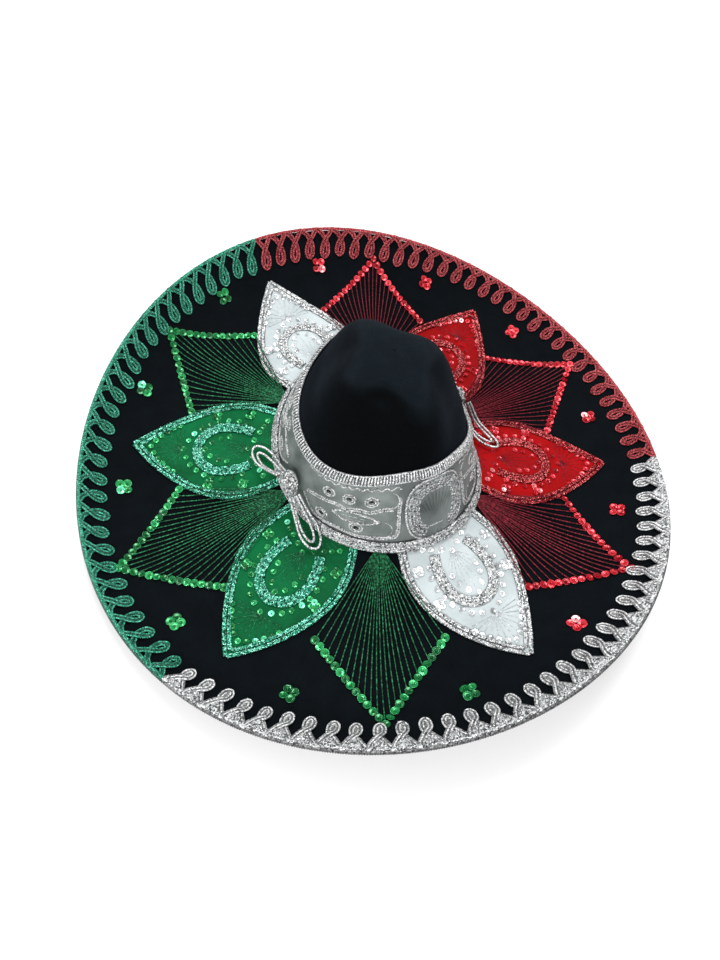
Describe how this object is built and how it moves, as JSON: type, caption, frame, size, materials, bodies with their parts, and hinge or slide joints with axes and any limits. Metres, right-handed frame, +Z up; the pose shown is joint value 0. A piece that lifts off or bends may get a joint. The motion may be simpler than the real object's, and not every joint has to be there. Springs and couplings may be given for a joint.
{
  "type": "sombrero",
  "caption": "Black felt sombrero with a wide upturned brim, coloured applique petals, string-art fans, looped metallic rim trim and a braided silver hat band with cord bows.",
  "frame": {"origin": "on the table plane under the middle of the brim", "axes": "+Z up along the crown, -Y towards the front of the hat, +X towards the red side of the brim"},
  "size_m": [0.5876, 0.5718, 0.1852],
  "materials": {
    "felt": "black brushed felt",
    "sweatband": "smooth leather",
    "band_cloth": "silver-grey lame cloth",
    "silver_braid": "metallic silver braid and cord",
    "teal_braid": "metallic green braid",
    "red_braid": "metallic red braid",
    "green_cloth": "satin cloth",
    "red_cloth": "satin cloth",
    "white_cloth": "satin cloth",
    "green_thread": "metallic thread over felt",
    "red_thread": "metallic thread over felt",
    "green_sequin": "glossy sequin",
    "red_sequin": "glossy sequin"
  },
  "bodies": {
    "root": {"band_foot_braid": "silver_braid", "band_top_braid": "silver_braid", "bow_cord_left_fore_inner": "silver_braid", "bow_cord_left_fore_outer": "silver_braid", "bow_cord_left_rear_inner": "silver_braid", "bow_cord_left_rear_outer": "silver_braid", "bow_cord_right_fore_inner": "silver_braid", "bow_cord_right_fore_outer": "silver_braid", "bow_cord_right_rear_inner": "silver_braid", "bow_cord_right_rear_outer": "silver_braid", "bow_knot_left": "silver_braid", "bow_knot_right": "silver_braid", "brim": "felt", "crown": "felt", "fan_green_121": "green_thread", "fan_green_180": "green_thread", "fan_green_242": "green_thread", "fan_red_2": "red_thread", "fan_red_62": "red_thread", "fan_red_m57": "red_thread", "flower_green_104": "green_sequin", "flower_green_136": "green_sequin", "flower_green_161": "green_sequin", "flower_green_196": "green_sequin", "flower_green_224": "green_sequin", "flower_green_258": "green_sequin", "flower_red_19": "red_sequin", "flower_red_47": "red_sequin", "flower_red_77": "red_sequin", "flower_red_m13": "red_sequin", "flower_red_m42": "red_sequin", "flower_red_m75": "red_sequin", "hat_band": "band_cloth", "horseshoe_green_150": "teal_braid", "horseshoe_green_209": "teal_braid", "horseshoe_red_31": "red_braid", "horseshoe_red_m28": "red_braid", "horseshoe_white_91": "silver_braid", "horseshoe_white_m87": "silver_braid", "medallion_back": "silver_braid", "medallion_front": "silver_braid", "petal_green_150": "green_cloth", "petal_green_209": "green_cloth", "petal_red_31": "red_cloth", "petal_red_m28": "red_cloth", "petal_white_91": "white_cloth", "petal_white_m87": "white_cloth", "rim_binding_green": "teal_braid", "rim_binding_red": "red_braid", "rim_binding_silver": "silver_braid", "rim_loops_green": "teal_braid", "rim_loops_red": "red_braid", "rim_loops_silver": "silver_braid", "sweatband": "sweatband"}
  },
  "joints": []
}
